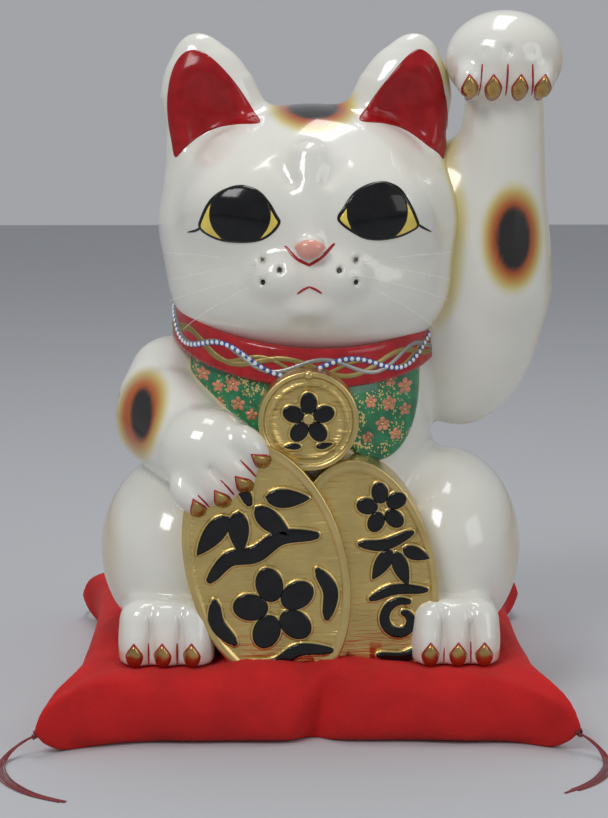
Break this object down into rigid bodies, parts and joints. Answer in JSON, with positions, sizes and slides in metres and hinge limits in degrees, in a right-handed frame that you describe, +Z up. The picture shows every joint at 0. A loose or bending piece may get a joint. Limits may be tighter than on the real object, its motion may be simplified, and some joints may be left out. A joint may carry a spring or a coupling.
{
  "type": "beckoning cat figurine on cushion",
  "caption": "Hollow glazed ceramic cat seated upright with one paw raised, holding oval coins, resting on a square tasselled cushion.",
  "frame": {"origin": "on the floor under the middle of the cushion", "axes": "+Z up; the cat faces -Y; +X is on the viewer's right, the side of the raised paw"},
  "size_m": [0.3487, 0.4274, 0.427],
  "materials": {
    "glazed_white": "glossy ivory ceramic glaze",
    "red_enamel": "glossy red enamel",
    "eye_enamel": "glossy black and yellow enamel",
    "pink_enamel": "glossy salmon enamel",
    "collar_enamel": "red enamel with blue, gold and white raised pattern",
    "bib_enamel": "green enamel with gold flecks and flowers",
    "gold": "satin gold lustre over ceramic",
    "black_relief": "glossy black enamel with gold edges",
    "nylon": "clear nylon",
    "vent_rubber": "matte",
    "red_felt": "soft red felt",
    "wadding": "polyester wadding",
    "red_thread": "dark red twisted thread"
  },
  "bodies": {
    "cushion": {"cushion_cover": "red_felt", "cushion_filling": "wadding", "front_right_tassel": "red_thread", "front_left_tassel": "red_thread", "back_left_tassel": "red_thread", "back_right_tassel": "red_thread"},
    "cat": {"torso_casting": "glazed_white", "head_casting": "glazed_white", "muzzle": "glazed_white", "right_ear": "glazed_white", "left_ear": "glazed_white", "right_ear_lining": "red_enamel", "left_ear_lining": "red_enamel", "right_eye_enamel": "eye_enamel", "left_eye_enamel": "eye_enamel", "nose": "pink_enamel", "right_whiskers": "nylon", "left_whiskers": "nylon", "collar_band": "collar_enamel", "bib": "bib_enamel", "raised_arm_casting": "glazed_white", "raised_paw_casting": "glazed_white", "raised_paw_claws": "gold", "resting_arm_casting": "glazed_white", "resting_paw_claws": "gold", "front_coin": "gold", "front_coin_emblem": "black_relief", "rear_coin": "gold", "rear_coin_emblem": "black_relief", "medallion": "gold", "medallion_emblem": "black_relief", "right_hind_paw": "glazed_white", "left_hind_paw": "glazed_white", "right_hind_paw_claws": "gold", "left_hind_paw_claws": "gold", "bob_tail": "glazed_white"},
    "stopper": {"vent_stopper": "vent_rubber"}
  },
  "joints": [
    {"name": "cat_lift", "type": "slide", "parent": "cushion", "child": "cat", "axis": [0, 0, 1], "range_m": [0, 0.08]},
    {"name": "stopper_pull", "type": "slide", "parent": "cat", "child": "stopper", "axis": [0, 0, -1], "range_m": [0, 0.0075]}
  ]
}
